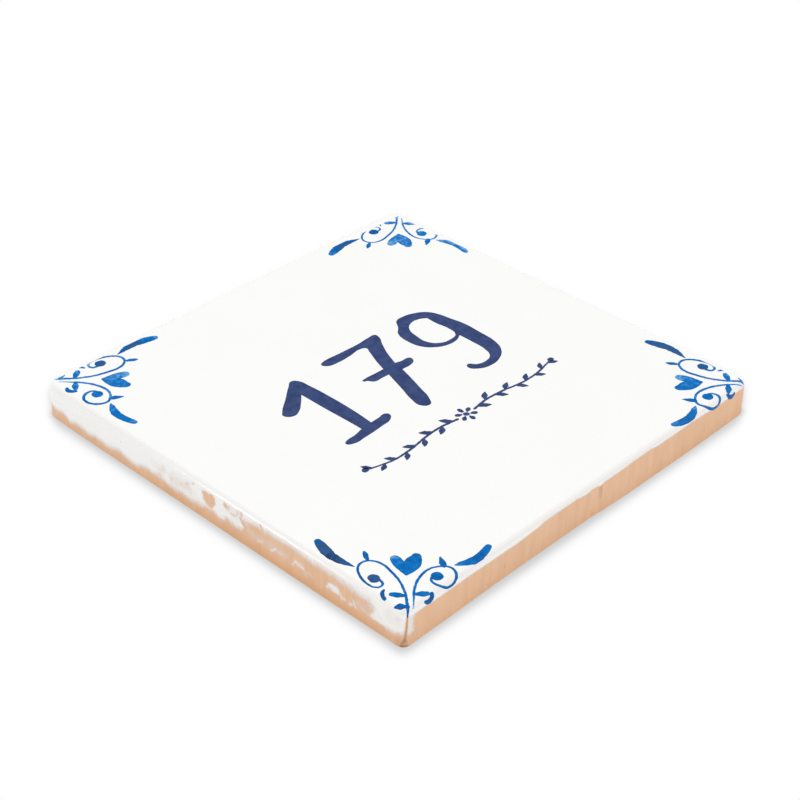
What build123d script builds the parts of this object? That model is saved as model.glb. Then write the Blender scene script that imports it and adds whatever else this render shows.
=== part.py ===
from build123d import *
import os
from math import atan2, degrees

# House number plaque: one square wall tile of fired earthenware.
# It lies on its back: Z = 0 is the back, +Z runs out of the glazed face,
# +X is the way the number reads and +Y is the number's own up.

# Driving sizes, in millimetres
face_side = 130.0            # across the face, from edge to edge
thickness = 10.0             # from the back to the face
side_lean = 0.5              # each side runs out by this much on its way down to the back
arris_radius = 1.6           # rolled edge round the face
sharp_corner_excess = 0.1    # lower left corner of the face: wider than the rolled edge by only this much
crisp_corner_radius = 2.8    # upper right corner of the face
soft_corner_radius = 4.4     # lower right and upper left corners of the face
back_edge_radius = 0.3       # eased edge round the back
groove_width = 6.0           # keying groove for the adhesive, across its mouth
groove_depth = 0.8
groove_draft = 20.0          # degrees that a groove's walls lean in towards its floor
land_width = 7.0             # flat back left between two grooves
key_margin = 12.0            # least plain border between the grooves and the face's edge


def back_outline():
    """Square outline of the back, each corner rounded as the hand-cut face is, and a little more."""
    back_side = face_side + 2 * side_lean
    half = back_side / 2
    roundings = (
        (-half, -half, arris_radius + sharp_corner_excess),
        (half, half, crisp_corner_radius),
        (half, -half, soft_corner_radius),
        (-half, half, soft_corner_radius),
    )
    outline = Rectangle(back_side, back_side)
    for x, y, face_radius in roundings:
        corner = outline.vertices().sort_by_distance((x, y))[0]
        outline = fillet(corner, face_radius + side_lean)
    return outline


def blank():
    """Slab with leaning sides, a rolled edge round its face and an eased edge round its back."""
    lean_angle = degrees(atan2(side_lean, thickness))
    slab = extrude(back_outline(), amount=thickness, taper=lean_angle)
    slab = fillet(slab.faces().sort_by(Axis.Z)[-1].edges(), arris_radius)
    return fillet(slab.faces().sort_by(Axis.Z)[0].edges(), back_edge_radius)


def keying_grooves():
    """Blind round-ended grooves in the back, in an even row, so that a flat land lies on its centre."""
    field = face_side - 2 * key_margin
    pitch = groove_width + land_width
    count = 2 * int((field + land_width) // (2 * pitch))
    groove = extrude(SlotOverall(field, groove_width), amount=groove_depth, taper=groove_draft)
    first = -(count - 1) * pitch / 2
    return [Pos(0, first + row * pitch, 0) * groove for row in range(count)]


tile = blank() - keying_grooves()
tile.label = "tile"

os.makedirs("parts", exist_ok=True)
export_step(tile, "parts/tile.step")
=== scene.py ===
import math

import bmesh
import bpy
import numpy as np
from mathutils import Matrix, Vector, noise


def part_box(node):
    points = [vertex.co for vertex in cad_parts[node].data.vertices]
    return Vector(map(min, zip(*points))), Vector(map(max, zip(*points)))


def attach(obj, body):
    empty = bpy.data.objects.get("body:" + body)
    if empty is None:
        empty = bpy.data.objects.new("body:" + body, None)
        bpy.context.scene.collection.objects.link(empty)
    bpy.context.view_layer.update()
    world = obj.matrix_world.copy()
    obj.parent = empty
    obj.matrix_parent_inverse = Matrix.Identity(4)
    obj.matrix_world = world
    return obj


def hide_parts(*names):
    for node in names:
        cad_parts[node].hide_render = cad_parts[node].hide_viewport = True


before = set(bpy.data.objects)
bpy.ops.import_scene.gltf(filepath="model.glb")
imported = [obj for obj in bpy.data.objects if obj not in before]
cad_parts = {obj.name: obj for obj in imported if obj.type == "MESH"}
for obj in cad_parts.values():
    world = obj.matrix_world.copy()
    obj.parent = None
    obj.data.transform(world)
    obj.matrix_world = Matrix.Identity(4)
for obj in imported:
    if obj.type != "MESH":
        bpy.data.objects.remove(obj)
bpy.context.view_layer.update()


# The tile: a slab of pale red earthenware, cut square by hand and left slightly uneven at corners and sides.
# Its face was dipped in white glaze, which rounds its edge, has run down two of the sides in tongues and
# smears, and was wiped off the other two. The back is bare clay, with pressed grooves that key the adhesive.
MM = 0.001
tile_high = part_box("tile")[1]
side_lean = 0.5
arris_radius = 1.6
back_edge_radius = 0.3
shown_back_radius = 0.15
sharp_corner_radius = 1.7
crisp_corner_radius = 2.8
soft_corner_radius = 4.4
paint_room = 0.05
thickness = tile_high.z / MM
face_height = thickness - paint_room
lean_angle = math.atan2(side_lean, thickness)
face_half = tile_high.x / MM - side_lean * (1 - back_edge_radius / thickness)
# How finely the rim is divided: round the tile, down its side, and over its two rounded edges.
column_pitch = 0.36
least_corner_steps = 22
side_row_pitch = 0.28
arris_steps = 9
back_edge_steps = 5
face_border = 0.08
back_border = 0.3


def face_edge():
    """Points round the sharp edge of the face, anticlockwise from the lower left, and the way out at each."""
    points, outward = [], []
    corners = (
        (-1, -1, sharp_corner_radius),
        (1, -1, soft_corner_radius),
        (1, 1, crisp_corner_radius),
        (-1, 1, soft_corner_radius),
    )
    for number, (sign_x, sign_y, radius) in enumerate(corners):
        start = math.pi * (1 + number / 2)
        steps = max(least_corner_steps, round(radius * math.pi / 2 / column_pitch))
        for angle in np.linspace(start, start + math.pi / 2, steps + 1):
            way = np.array((math.cos(angle), math.sin(angle)))
            points.append(np.array((sign_x, sign_y)) * (face_half - radius) + radius * way)
            outward.append(way)
        next_x, next_y, next_radius = corners[(number + 1) % 4]
        target = np.array((next_x, next_y)) * (face_half - next_radius) + next_radius * outward[-1]
        straight = target - points[-1]
        pieces = round(np.linalg.norm(straight) / column_pitch)
        from_here = points[-1]
        for piece in range(1, pieces):
            points.append(from_here + straight * piece / pieces)
            outward.append(outward[-1])
    return np.array(points), np.array(outward)


def side_profile():
    """Rows from the face over its edge and down the side to the back: reach past the edge, height, normal."""
    arris_reach = -arris_radius * (1 - math.sin(lean_angle)) / math.cos(lean_angle)
    back_reach = thickness * math.tan(lean_angle)
    foot_reach = back_reach - shown_back_radius * (1 + math.sin(lean_angle)) / math.cos(lean_angle)
    rows = [(arris_reach - face_border, face_height, 0.0, 1.0)]
    for tip in np.linspace(0, math.pi / 2 - lean_angle, arris_steps + 1):
        out, up = math.sin(tip), math.cos(tip)
        drop = paint_room * up
        rows.append((arris_reach + arris_radius * out, thickness - arris_radius * (1 - up) - drop, out, up))
    top_reach, top_height = rows[-1][:2]
    low_out, low_up = rows[-1][2:]
    low_reach = foot_reach + shown_back_radius * low_out
    low_height = shown_back_radius * (1 + low_up)
    side_rows = round((top_height - low_height) / side_row_pitch)
    for share in np.linspace(0, 1, side_rows + 1)[1:]:
        reach = top_reach + (low_reach - top_reach) * share
        rows.append((reach, top_height + (low_height - top_height) * share, low_out, low_up))
    for tip in np.linspace(math.pi / 2 - lean_angle, math.pi, back_edge_steps + 1)[1:]:
        out, up = math.sin(tip), math.cos(tip)
        rows.append((foot_reach + shown_back_radius * out, shown_back_radius * (1 + up), out, up))
    rows.append((foot_reach - back_border, 0.0, 0.0, -1.0))
    return np.array(rows)


# How far down each side the glaze reaches: distance along the side and height of its lower edge, both in
# millimetres, read along +X on the lower and upper sides and along +Y on the left and right ones.
glaze_foot = {
    "left": (
        (-65, 3.9), (-63.5, 3.4), (-62, 2.9), (-60, 2.9), (-57.0, 5.0), (-55.0, 6.3), (-52, 6.3),
        (-50, 6.5), (-47, 6.8), (-45, 7.0), (-42, 7.1), (-40, 7.15), (-37, 7.1), (-36.6, 6.9), (-36, 7.8),
        (-33, 7.9), (-30, 7.9), (-29.4, 8.2), (-27, 7.9), (-24, 7.9), (-21, 8.0), (-20.2, 6.9),
        (-19.6, 7.8), (-17, 7.8), (-16, 7.5), (-15, 7.2), (-14, 6.8), (-12.7, 6.4), (-12.2, 3.9), (-8, 3.5),
        (-7.2, 4.2), (-6.6, 4.2), (-6, 3.2), (-4.5, 3.0), (-3, 3.5), (-1.5, 3.8), (0, 3.9), (1, 3.7),
        (2, 3.0), (5, 2.75), (7, 2.8), (10, 2.65), (12, 2.7), (15, 2.8), (17.5, 3.6), (19, 3.6),
        (20.7, 3.2), (23, 3.4), (25, 3.2), (26, 2.7), (27, 2.2), (30, 2.4), (33, 3.2), (35.5, 2.9),
        (37.5, 2.3), (39, 2.2), (41, 2.6), (44, 2.8), (45.5, 2.1), (46.5, 2.2), (49, 2.7), (50, 2.8),
        (52, 2.65), (53, 2.2), (54.5, 1.9), (55.5, 2.7), (57.5, 3.5), (59, 3.1), (60, 2.9), (60.8, 3.4),
        (65, 3.2),
    ),
    "lower": (
        (-65, 8.0), (-58, 8.0), (-55, 7.9), (-50, 8.0), (-45, 8.1), (-33, 8.1), (-28, 8.0), (-25, 8.2),
        (-22, 8.4), (-20, 8.5), (-18, 8.8), (-16, 8.95), (-12, 8.95), (-10, 9.1), (-8, 9.2), (-6, 9.05),
        (-4, 8.7), (-2, 8.6), (0, 8.8), (2, 8.7), (3.4, 8.2), (4.6, 8.7), (10, 8.6), (15, 8.8), (20, 8.9),
        (22, 9.0), (25, 8.6), (35, 8.6), (40, 8.7), (45, 8.5), (50, 8.3), (55, 8.4), (65, 8.7),
    ),
    "right": (
        (-65, 8.4), (-58, 6.5), (-50, 4.2), (-42, 3.2), (-30, 3.6), (-20, 2.8), (-8, 4.5), (0, 7.8),
        (12, 8.1), (24, 7.4), (33, 4.1), (45, 3.3), (58, 3.8), (65, 4.5),
    ),
    "upper": ((-65, 4.0), (-60, 5.5), (-52, 8.0), (-20, 8.4), (10, 8.7), (40, 8.3), (65, 7.5)),
}
glaze_ragged = {"left": 0.22, "lower": 0.08, "right": 0.2, "upper": 0.1}
# How thick the glaze lies at each height above its lower edge: it thins out on the sides that it ran down,
# and more slowly along one stretch of the left side, which starts and ends softly.
run_down = ((-1.0, -0.4, 0.0, 0.4, 0.9, 1.5), (0.0, 0.3, 0.5, 0.62, 0.77, 1.0))
thin_film = ((-0.7, -0.1, 0.5, 1.2, 2.0, 3.0), (0.0, 0.18, 0.46, 0.64, 0.82, 1.0))
film_start = (-58.0, -56.0)
film_end = (-36.2, -37.0)
wiped_off = ((-0.35, 0.35), (0.0, 1.0))
glaze_rise = {"left": run_down, "lower": wiped_off, "right": run_down, "upper": wiped_off}
# Smears of glaze, and bare patches, which have a minus: along and height of both ends, half width, thickness.
glaze_smears = {
    "left": (
        (-56.8, 4.6, -63.0, 4.7, 1.0, 0.92), (-55.8, 4.2, -60.0, 4.2, 0.9, 0.9),
        (-56.8, 5.5, -60.0, 5.6, 0.9, 0.92), (-54.6, 6.3, -57.0, 5.6, 0.7, 0.55),
        (-53.4, 5.6, -55.4, 5.0, 0.7, 0.4), (-42.2, 4.7, -44.3, 4.8, 0.68, 0.92),
        (-41.2, 3.8, -42.2, 4.6, 0.45, 0.68), (-42.6, 4.1, -44.8, 4.2, 0.6, 0.8),
        (-44.4, 5.6, -46.2, 3.4, 0.5, 0.6), (-46.0, 3.2, -47.0, 3.5, 0.5, 0.58),
        (-48.6, 3.1, -49.2, 3.4, 0.5, 0.62), (-49.9, 4.6, -50.4, 3.5, 0.5, 0.58),
        (-51.5, 4.7, -54.2, 4.0, 1.0, 0.42), (-35.3, 4.3, -36.4, 3.7, 0.5, 0.32),
        (-33.2, 4.7, -34.2, 3.3, 0.7, 0.36), (-29.7, 3.7, -30.5, 5.0, 0.36, 0.68),
        (-30.7, 5.0, -32.9, 4.7, 0.65, 0.7), (-22.6, 3.7, -24.1, 5.1, 0.4, 0.72),
        (-24.0, 4.9, -26.2, 4.5, 0.5, 0.55), (-20.5, 4.7, -27.5, 5.0, 1.1, 0.36),
        (-15.0, 5.0, -19.6, 4.4, 1.2, 0.36), (-18.2, 3.9, -19.6, 4.8, 0.55, 0.56),
        (-13.6, 6.2, -16.4, 8.0, 0.3, 0.55), (-7.5, 5.3, -12.0, 5.2, 0.9, 0.86),
        (-22.0, 6.8, -31.0, 6.8, 1.3, 0.15), (-3.6, 4.3, -5.6, 4.2, 0.75, 0.84),
        (-4.2, 5.0, -4.4, 8.4, 1.0, 0.86), (5.2, 3.2, 5.3, 0.9, 0.28, 0.4), (4.2, 4.2, 4.0, 8.0, 0.9, 0.9),
        (1.0, 7.35, -1.9, 7.35, 0.9, -1.2), (0.8, 6.3, -1.6, 6.1, 0.85, -1.2),
        (0.3, 5.5, -0.7, 5.3, 0.55, -0.9), (-6.2, 8.2, -6.5, 7.8, 0.42, -0.9),
        (-6.6, 7.7, -11.5, 7.7, 1.2, -0.24), (-8.5, 6.7, -9.7, 6.8, 0.3, -0.3),
        (-7.4, 7.3, -7.6, 8.3, 0.25, -0.3), (-10.6, 7.2, -10.9, 8.4, 0.25, -0.3),
        (-12.1, 8.6, -12.4, 8.2, 0.32, -0.5), (-11.9, 6.9, -12.6, 6.0, 0.4, -0.6),
        (-18.8, 8.8, -19.0, 8.7, 0.22, -0.7), (5.2, 8.3, 5.5, 8.1, 0.24, -0.7),
        (4.4, 8.9, 7.6, 6.9, 0.3, -0.18), (7.0, 6.2, 13.0, 5.6, 1.4, -0.3),
        (16.4, 7.2, 17.6, 5.0, 0.9, -0.26), (20.5, 6.6, 18.6, 6.4, 0.8, -0.2),
        (-60.6, 6.8, -63.6, 6.5, 1.3, -0.2), (-61.0, 8.6, -63.4, 8.4, 0.8, -0.1),
    ),
    "lower": (
        (-64.4, 4.2, -62.9, 4.3, 0.75, 0.66), (-63.0, 4.3, -62.6, 8.4, 1.2, 0.68),
        (-65.1, 4.4, -65.0, 8.8, 1.1, 0.95),
    ),
}
smear_edge = (1.85, 0.25)
# How far each near side falls back at its foot, where it was cut less square: along, and how far.
foot_bow = {
    "left": ((-62, 0.2), (-50, 0.08), (-44, 0.0), (50, 0.0), (58, 0.2), (62, 0.25)),
    "lower": (
        (-62, 0.05), (-50, 0.22), (-35, 0.5), (-25, 0.6), (0, 0.6), (5, 0.3), (14, 0.05), (40, 0.0),
        (50, 0.13), (58, 0.3),
    ),
}
bow_height = (7.0, 0.5)
# Shallow dents in the lower side, drawn only as painted shade: along, height, half length, half height, and
# depth of the shade as a share.
side_dents = (
    (-31.2, 3.6, 0.5, 1.4, 0.55), (-26.6, 4.2, 0.4, 0.8, 0.3), (-22.2, 3.8, 0.5, 1.5, 0.3),
    (-15.5, 3.0, 0.5, 1.0, 0.3), (-11.0, 3.8, 0.6, 0.9, 0.25), (-4.4, 4.0, 0.7, 2.5, 0.25),
    (0.8, 0.9, 0.7, 0.35, 0.8), (11.8, 6.6, 0.8, 0.6, 0.2), (20.6, 3.0, 0.6, 2.0, 0.35),
    (24.2, 3.6, 0.7, 0.8, 0.35), (27.3, 2.6, 0.5, 1.4, 0.45), (45.2, 3.4, 0.5, 1.4, 0.4),
    (51.0, 3.6, 0.5, 1.3, 0.35), (56.8, 3.2, 0.5, 1.0, 0.4),
)
dent_edge = (1.5, 0.2)
dent_waver = 0.4
# How strongly the clay at the foot of each side turns darker and more orange, along it, and how high that
# reaches.
foot_tint_strength = {
    "left": ((-65, 0.3), (-55, 0.5), (-40, 0.6), (-15, 0.58), (10, 0.42), (35, 0.14), (65, 0.05)),
    "lower": ((-65, 0.2), (65, 0.2)),
    "right": ((-65, 0.5), (65, 0.6)),
    "upper": ((-65, 0.4), (65, 0.3)),
}
foot_tint_height = 4.2
# The line worn through the glaze at the sharp corner, its bare clay darkened with painted shade: its place as
# a share of the corner's turn, then its lean, half width and painted shade at each height, its soft edge, and
# the height at which it ends.
worn_place = 0.72
worn_lean = ((1.0, 3.0, 8.5), (-0.3, -0.1, 0.45))
worn_width = ((0.3, 1.2, 2.2, 4.5, 9.5), (0.8, 0.6, 0.25, 0.16, 0.1))
worn_shade = ((0.3, 0.8, 1.2, 2.0, 3.5, 8.0), (1.05, 0.5, 0.65, 1.05, 1.25, 1.2))
worn_edge = (0.34, -0.1)
worn_top = (9.4, 8.6)
# Painted shade at the corner's foot, to the left of that line: how dark, how far aside, how far it reaches,
# how high.
corner_foot_shade = 0.6
corner_foot_aside = 0.9
corner_foot_reach = (2.8, 0.3)
corner_foot_height = (3.6, 1.2)
# The glaze over the rolled edge always stays: from which height, and how much of it the worn line takes.
edge_glaze = (8.8, 9.15)
edge_glaze_worn = 0.7
# The glaze of the left side is mottled: up to which height, up to where along, how much.
mottle_top = (9.4, 8.4)
mottle_end = (28, 22)
mottle_depth = 0.2
# The glaze on the rolled edge is greyed with painted shade, as where it turns from the light: where that
# starts and ends, by how far the surface faces out.
rolled_start = (0.0, 0.3)
rolled_end = (0.93, 0.8)
# The bare clay lies lower than the glaze and is streaked, with painted shade in the streaks; the lower side
# also has an upright seam, a step that is darkened with painted shade too.
glaze_depth = 0.05
side_start = (0.0, 0.9)
streak_depth = 0.03
streak_shade = 0.5
seam_at = 3.8
seam_width = 1.9
seam_depth = 0.2
seam_foot = 0.35
seam_rise = (3.0, 6.0)
# A pinhole in the left side, drawn only as painted shade: along and height, its radius, soft edge and how
# dark.
pinhole = (33.0, 6.6)
pinhole_radius = 0.32
pinhole_edge = 0.1
pinhole_shade = 1.7
out_of_reach = 9
# Layers of unevenness: waves per millimetre along and up the side, seed, strength.
tongue_waves = ((0.45, 0.2, 3.1, 1.0), (1.3, 0.4, 8.7, 1.0))
smudge_waves = ((0.9, 0.9, 5.3, 0.5), (1.7, 1.7, 9.2, 0.4))
mottle_waves = ((0.33, 0.5, 21.0, 1.0), (1.2, 1.0, 13.0, 0.6))
streak_waves = ((0.4, 0.05, 11.0, 1.0), (1.3, 0.15, 4.4, 0.6))


def soft_step(low, high, value):
    """0 on the low side, 1 on the high side, and a smooth rise between; low may be the larger number."""
    share = np.clip((value - low) / (high - low), 0, 1)
    return share * share * (3 - 2 * share)


def noise_field(points, layers):
    """Smooth noise at each point, summed from layers, each of them as strong as its last number."""
    flat = points.reshape(-1, 3)
    total = np.zeros(len(flat))
    for along, up, seed, strength in layers:
        places = [Vector((x * along + seed, y * along - seed, z * up + 2 * seed)) for x, y, z in flat]
        total += [strength * noise.noise(place) for place in places]
    return total.reshape(points.shape[:-1])


def along_sides(tables):
    """One number for each column of the rim, read from the tables of the sides that it faces."""
    total = 0
    for side, table in tables.items():
        total = total + facing[side] * np.interp(along_side[side], *np.transpose(table))
    return total


edge, outward = face_edge()
profile = side_profile()
rim = np.empty((len(profile), len(edge), 3))
rim[:, :, :2] = edge[None] + outward[None] * profile[:, 0, None, None]
rim[:, :, 2] = profile[:, 1, None]
height = rim[:, :, 2]
facing_out = profile[:, 2]
back_rows = back_edge_steps + 2
facing = {
    "left": np.clip(-outward[:, 0], 0, 1) ** 2,
    "right": np.clip(outward[:, 0], 0, 1) ** 2,
    "lower": np.clip(-outward[:, 1], 0, 1) ** 2,
    "upper": np.clip(outward[:, 1], 0, 1) ** 2,
}
along_side = {"left": edge[:, 1], "right": edge[:, 1], "lower": edge[:, 0], "upper": edge[:, 0]}
ragged = sum(facing[side] * glaze_ragged[side] for side in facing)
tongues = noise_field(rim, tongue_waves)
smudge = noise_field(rim, smudge_waves)
mottle = np.clip(noise_field(rim, mottle_waves), 0, 1) * soft_step(*mottle_top, height)
glaze = np.zeros_like(height)
for side, share in facing.items():
    foot = np.interp(along_side[side], *np.transpose(glaze_foot[side]))
    drop = height - foot + ragged * tongues
    layer = np.interp(drop, *glaze_rise[side])
    if side == "left":
        stretch = soft_step(*film_start, edge[:, 1]) * soft_step(*film_end, edge[:, 1])
        layer += stretch * (np.interp(drop, *thin_film) - layer)
    for from_along, from_up, to_along, to_up, half_width, amount in glaze_smears.get(side, ()):
        run = np.array((to_along - from_along, to_up - from_up))
        here = np.dstack((np.broadcast_to(along_side[side], height.shape) - from_along, height - from_up))
        part = np.clip(here @ run / (run @ run), 0, 1)
        away = np.linalg.norm(here - part[:, :, None] * run, axis=2) / half_width
        smear = amount * soft_step(*smear_edge, away + smudge)
        layer = np.maximum(layer, smear) if amount > 0 else np.maximum(layer + smear, 0)
    if side == "left":
        layer = np.maximum(layer - mottle_depth * mottle * soft_step(*mottle_end, edge[:, 1]), 0)
    glaze += share * layer
steps_round = np.linalg.norm(np.diff(edge, axis=0, append=edge[:1]), axis=1)
past_corner = np.concatenate(((0,), np.cumsum(steps_round)[:-1]))
past_corner = np.where(past_corner > steps_round.sum() / 2, past_corner - steps_round.sum(), past_corner)
worn_line = worn_place * sharp_corner_radius * math.pi / 2 + np.interp(height, *worn_lean)
worn_half = np.interp(height, *worn_width)
from_line = np.abs(past_corner - worn_line)
corner_wear_and_shade = soft_step(worn_half + worn_edge[0], worn_half + worn_edge[1], from_line)
corner_wear_and_shade = corner_wear_and_shade * soft_step(*worn_top, height)
staying_glaze = soft_step(*edge_glaze, height) * (1 - edge_glaze_worn * corner_wear_and_shade)
glaze = np.maximum(glaze * (1 - corner_wear_and_shade), staying_glaze)
glaze[-back_rows:] = 0

streaks = noise_field(rim, streak_waves)
seam_step_and_shade = facing["lower"] * np.clip(1 - (seam_at - edge[:, 0]) / seam_width, 0, 1) * (edge[:, 0] < seam_at)
seam_step_and_shade = seam_step_and_shade * (seam_foot + (1 - seam_foot) * soft_step(*seam_rise, height))
# Painted shade on the rolled edge, greyer where it turns from the light.
rolled = soft_step(*rolled_start, facing_out) * soft_step(*rolled_end, facing_out)
rolled_edge_shade = rolled[:, None] * np.ones(len(edge))
# Painted shade, which the tile's material reads: in the streaks' grooves, on the seam's step, along the worn
# corner line and at the corner's foot, in the dents and in the pinhole.
painted_shade = np.clip(-streaks, 0, 1) * streak_shade + seam_step_and_shade
painted_shade += corner_wear_and_shade * np.interp(height, *worn_shade)
beside_line = np.abs(past_corner - worn_line + corner_foot_aside)
dark_foot = corner_foot_shade * soft_step(*corner_foot_reach, beside_line)
painted_shade += dark_foot * soft_step(*corner_foot_height, height)
for along, up, half_along, half_up, depth in side_dents:
    gap = np.hypot((edge[:, 0] - along) / half_along, (height - up) / half_up)
    gap = gap + out_of_reach * (1 - facing["lower"])
    painted_shade += depth * soft_step(*dent_edge, gap + dent_waver * smudge)
foot_tint = along_sides(foot_tint_strength) * soft_step(foot_tint_height, 0.0, height)
foot_tint[-back_rows:] = 0
pinhole_gap = np.hypot(height - pinhole[1], edge[:, 1] - pinhole[0]) + out_of_reach * (1 - facing["left"])
painted_shade += pinhole_shade * soft_step(pinhole_radius + pinhole_edge, pinhole_radius - pinhole_edge, pinhole_gap)
side_share = soft_step(*side_start, facing_out)[:, None]
sunk = (1 - glaze) * (glaze_depth + streak_depth * (1 + streaks) / 2 + seam_depth * seam_step_and_shade) * side_share
rim[:, :, :2] -= outward[None] * (sunk * facing_out[:, None])[:, :, None]
rim[:, :, 2] -= sunk * np.clip(profile[:, 3, None], 0, 1)
rim[:, :, :2] -= outward[None] * (along_sides(foot_bow) * soft_step(*bow_height, height))[:, :, None]


def mark_points(mesh, name, values, kind="FLOAT"):
    """Keeps a number, or a vector, for each point of a mesh, for its material or its nodes to read."""
    field = {"FLOAT": "value", "FLOAT_VECTOR": "vector"}[kind]
    mesh.attributes.new(name, kind, "POINT").data.foreach_set(field, np.ravel(values))


def put_in_scene(name, data):
    """A new object in the scene that holds a mesh, a curve, a lamp or a camera."""
    made = bpy.data.objects.new(name, data)
    bpy.context.scene.collection.objects.link(made)
    return made


columns = len(edge)
rows = len(profile)
tile_mesh = bpy.data.meshes.new("glazed_tile")
rim_faces = [
    (row * columns + column, (row + 1) * columns + column, (row + 1) * columns + after, row * columns + after)
    for row in range(rows - 1)
    for column, after in zip(range(columns), [*range(1, columns), 0])
]
tile_mesh.from_pydata(rim.reshape(-1, 3) * MM, [], [tuple(range(columns)), *rim_faces])
for label, values in {"glaze": glaze, "painted_shade": painted_shade, "foot_tint": foot_tint, "rolled_edge_shade": rolled_edge_shade}.items():
    mark_points(tile_mesh, label, values)

groove_width = 6.0
groove_depth = 0.8
groove_draft = math.radians(20)
land_width = 7.0
key_margin = 12.0
groove_end_steps = 14


def groove_loop(width, length, middle, level):
    """Corners of a round-ended groove outline, lengthways along X."""
    loop = []
    for end in (1, -1):
        for turn in np.linspace(-math.pi / 2, math.pi / 2, groove_end_steps + 1):
            x = end * (length / 2 - width / 2 + width / 2 * math.cos(turn))
            loop.append((x, middle + end * width / 2 * math.sin(turn), level))
    return loop


body = bmesh.new()
body.from_mesh(tile_mesh)
body.verts.ensure_lookup_table()
back_ring = body.verts[(rows - 1) * columns:rows * columns]
back_edges = [body.edges.get((a, b)) for a, b in zip(back_ring, [*back_ring[1:], back_ring[0]])]
groove_length = 2 * (face_half - key_margin)
groove_pitch = groove_width + land_width
groove_count = 2 * int((groove_length + land_width) // (2 * groove_pitch))
narrowing = 2 * groove_depth * math.tan(groove_draft)
for row in range(groove_count):
    middle = (row - (groove_count - 1) / 2) * groove_pitch
    mouth = [body.verts.new(Vector(p) * MM) for p in groove_loop(groove_width, groove_length, middle, 0)]
    floor_loop = groove_loop(groove_width - narrowing, groove_length - narrowing, middle, groove_depth)
    floor = [body.verts.new(Vector(p) * MM) for p in floor_loop]
    for here, after in zip(range(len(mouth)), [*range(1, len(mouth)), 0]):
        body.faces.new((mouth[here], mouth[after], floor[after], floor[here]))
        back_edges.append(body.edges.get((mouth[here], mouth[after])))
    body.faces.new(floor)
bmesh.ops.triangle_fill(body, edges=back_edges, use_beauty=True)
bmesh.ops.recalc_face_normals(body, faces=body.faces)
body.to_mesh(tile_mesh)
body.free()
crease_angle = math.radians(40)
tile_mesh.shade_smooth()
tile_mesh.set_sharp_from_angle(angle=crease_angle)
glazed_tile = put_in_scene("glazed_tile", tile_mesh)


def colour(red, green, blue):
    """A colour written as it shows on a screen, 0 to 255, for a shader."""
    shares = [c / 255 for c in (red, green, blue)]
    return (*[s / 12.92 if s < 0.04045 else ((s + 0.055) / 1.055) ** 2.4 for s in shares], 1.0)


def add_node(tree, kind, values=None, **options):
    """Adds a node, sets its options, and gives its inputs values or links them to other nodes' outputs."""
    made = tree.nodes.new(kind)
    for name, value in options.items():
        setattr(made, name, value)
    for socket, value in (values or {}).items():
        if isinstance(value, bpy.types.NodeSocket):
            tree.links.new(value, made.inputs[socket])
        else:
            made.inputs[socket].default_value = value
    return made


def mix_colours(tree, share, first, second):
    """The first colour where share is 0, the second where it is 1."""
    return add_node(tree, "ShaderNodeMix", {0: share, 6: first, 7: second}, data_type="RGBA").outputs[2]


def graded(tree, value, low, high, new_low=0.0, new_high=1.0):
    """Carries a value from one range to another, smoothly and no further than its ends."""
    inputs = {"Value": value, "From Min": low, "From Max": high, "To Min": new_low, "To Max": new_high}
    return add_node(tree, "ShaderNodeMapRange", inputs, interpolation_type="SMOOTHSTEP").outputs["Result"]


def calculated(tree, operation, *values):
    """A sum, a product or another calculation on two or three values."""
    return add_node(tree, "ShaderNodeMath", dict(enumerate(values)), operation=operation).outputs[0]


def marked(tree, name):
    """The number that a piece's mesh keeps under this name."""
    return add_node(tree, "ShaderNodeAttribute", attribute_name=name).outputs["Fac"]


def clouding(tree, place, waves_per_metre, detail):
    """Uneven patches, from 0 to 1."""
    inputs = {"Vector": place, "Scale": waves_per_metre, "Detail": detail}
    return add_node(tree, "ShaderNodeTexNoise", inputs).outputs["Fac"]


def bumps(tree, height, strength, depth):
    """A surface turned this way and that by small bumps of this depth, in millimetres."""
    inputs = {"Height": height, "Strength": strength, "Distance": depth * MM}
    return add_node(tree, "ShaderNodeBump", inputs).outputs[0]


def new_material(name):
    """An empty node material with its output."""
    made = bpy.data.materials.new(name)
    made.use_nodes = True
    made.node_tree.nodes.clear()
    return made, made.node_tree, made.node_tree.nodes.new("ShaderNodeOutputMaterial")


glaze_roughness = 0.11
clay_roughness = 0.88
glaze_specular = 0.25
# Waves per metre and detail of the clay's grain and drag marks, and of the glaze's clouds and slow swell.
grain_waves = (2600, 4)
drag_waves = (620, 3)
cloud_waves = (55, 3)
swell_waves = (240, 2)
drag_height = 0.12
# How strong, and how deep in millimetres, the clay's tooth and the glaze's swell are.
clay_tooth = (0.45, 0.12)
glaze_swell = (0.10, 0.15)
# Between which thicknesses the glaze turns from none to a film, and from a film to white; grain breaks it up.
film_range = (0.25, 0.95)
cover_range = (0.6, 1.3)
grain_break = 0.5
# Over which range each colour of the clay and the glaze comes in and, where it doesn't cover fully, how far;
# the third, fourth and fifth, the rolled one and the last are painted shade.
drag_range = (0.3, 0.7)
grain_range = (0.45, 0.8, 0.0, 0.3)
faint_shade_range = (0.1, 1.0, 0.0, 0.6)
deep_shade_range = (0.9, 1.6)
darkest_shade_range = (1.5, 2.2)
cloud_range = (0.35, 0.65)
rolled_range = (0.0, 1.0, 0.0, 0.6)
glaze_deep_shade_range = (1.2, 2.0)
clay_buff = colour(232, 190, 155)
clay_dragged = colour(238, 197, 162)
clay_grain = colour(220, 172, 132)
clay_foot_tint = colour(224, 168, 118)
# The clay's painted shades, from faint to darkest.
clay_faint_shade = colour(206, 160, 124)
clay_deep_shade = colour(176, 134, 106)
clay_darkest_shade = colour(132, 94, 70)
glaze_white = colour(250, 250, 248)
glaze_cloud = colour(249, 249, 247)
# The glaze's painted shades: greyer on the rolled edge, deep grey in the pinhole and at the worn corner.
glaze_rolled_shade = colour(240, 238, 235)
glaze_deep_shade = colour(150, 146, 142)
glaze_film = colour(228, 212, 203)


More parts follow.
